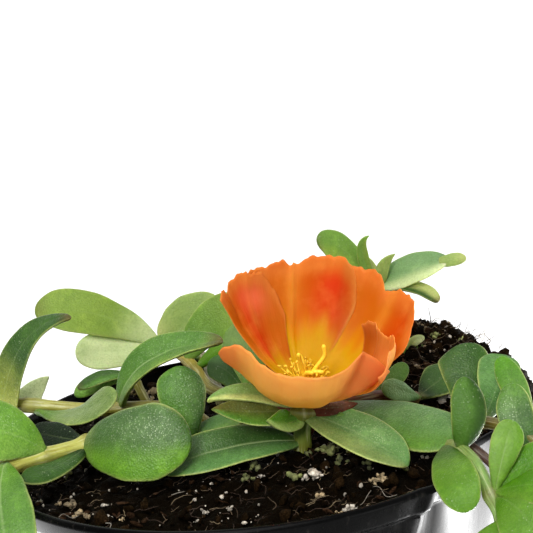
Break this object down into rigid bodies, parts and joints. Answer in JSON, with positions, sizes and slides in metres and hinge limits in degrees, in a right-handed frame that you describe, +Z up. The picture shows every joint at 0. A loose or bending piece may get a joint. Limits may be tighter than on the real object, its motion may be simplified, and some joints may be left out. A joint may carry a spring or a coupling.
{
  "type": "potted portulaca",
  "caption": "Creeping purslane with thick spoon-shaped leaves and an open orange cup flower, growing in a thin round black nursery pot.",
  "frame": {"origin": "middle of the pot's base, on the surface it stands on", "axes": "+Z up; the plant's front, where the flower leans, is towards -Y; +X is to the right seen from the front"},
  "size_m": [0.1441, 0.1333, 0.1224],
  "materials": {
    "pot_plastic": "thin black moulded plastic, satin to glossy",
    "soil": "moist dark peat soil, rough and crumbly, with pale perlite and bark bits",
    "foliage": "thick waxy leaf, soft sheen, fine glistening specks, paler edge",
    "petal": "thin silky petal, orange-red turning yellow at the heart",
    "stamen": "matte bright yellow"
  },
  "bodies": {
    "root": {"pot": "pot_plastic", "soil": "soil", "shoot_left_low": "foliage", "shoot_left_high": "foliage", "shoot_back_left": "foliage", "sprig_left": "foliage", "sprig_front": "foliage", "shoot_flower": "foliage", "shoot_right_long": "foliage", "shoot_right_low": "foliage", "shoot_right_high": "foliage", "shoot_back_top": "foliage", "shoot_back": "foliage", "shoot_back_low": "foliage", "petals": "petal", "stamens": "stamen"}
  },
  "joints": []
}
